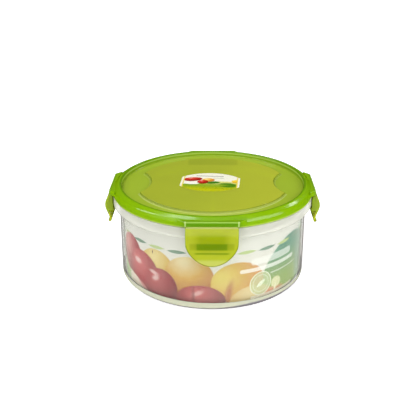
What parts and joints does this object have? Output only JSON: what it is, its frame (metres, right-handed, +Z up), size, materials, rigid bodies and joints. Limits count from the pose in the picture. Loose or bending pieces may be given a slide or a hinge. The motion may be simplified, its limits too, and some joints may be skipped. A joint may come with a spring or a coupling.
{
  "type": "snap lid food container",
  "caption": "Round clear plastic tub with a green recessed lid that lifts off, living-hinge latches around its edge, a silicone seal, a printed liner and a lid sticker.",
  "frame": {"origin": "centre of the foot ring, on the surface the container stands on", "axes": "+Z up through the lid; -Y towards the front latch, +X towards the right latch"},
  "size_m": [0.1504, 0.1504, 0.068],
  "materials": {
    "clear_tub": "milky translucent polypropylene",
    "green_lid": "glossy translucent lime polypropylene",
    "green_latch": "glossy translucent lime polypropylene, thinner",
    "seal": "translucent white silicone",
    "liner": "printed card with fruit shapes",
    "sticker": "printed glossy label"
  },
  "bodies": {
    "tub": {"tub": "clear_tub", "printed_liner": "liner"},
    "lid": {"lid": "green_lid", "seal_ring": "seal", "lid_sticker": "sticker", "hinge_web_right": "green_latch", "hinge_web_back": "green_latch", "hinge_web_left": "green_latch", "hinge_web_front": "green_latch"},
    "latch_right": {"latch_right": "green_latch"},
    "latch_back": {"latch_back": "green_latch"},
    "latch_left": {"latch_left": "green_latch"},
    "latch_front": {"latch_front": "green_latch"}
  },
  "joints": [
    {"name": "lid_lift", "type": "slide", "parent": "tub", "child": "lid", "axis": [0, 0, 1], "range_m": [0, 0.08]},
    {"name": "latch_right_hinge", "type": "hinge", "parent": "lid", "child": "latch_right", "pos_m": [0.07115, 0, 0.0629], "axis": [0, -1, 0], "range_deg": [0, 110], "deforming": ["hinge_web_right"]},
    {"name": "latch_back_hinge", "type": "hinge", "parent": "lid", "child": "latch_back", "pos_m": [0, 0.07115, 0.0629], "axis": [1, 0, 0], "range_deg": [0, 110], "deforming": ["hinge_web_back"]},
    {"name": "latch_left_hinge", "type": "hinge", "parent": "lid", "child": "latch_left", "pos_m": [-0.07115, 0, 0.0629], "axis": [0, 1, 0], "range_deg": [0, 110], "deforming": ["hinge_web_left"]},
    {"name": "latch_front_hinge", "type": "hinge", "parent": "lid", "child": "latch_front", "pos_m": [0, -0.07115, 0.0629], "axis": [-1, 0, 0], "range_deg": [0, 110], "deforming": ["hinge_web_front"]}
  ]
}
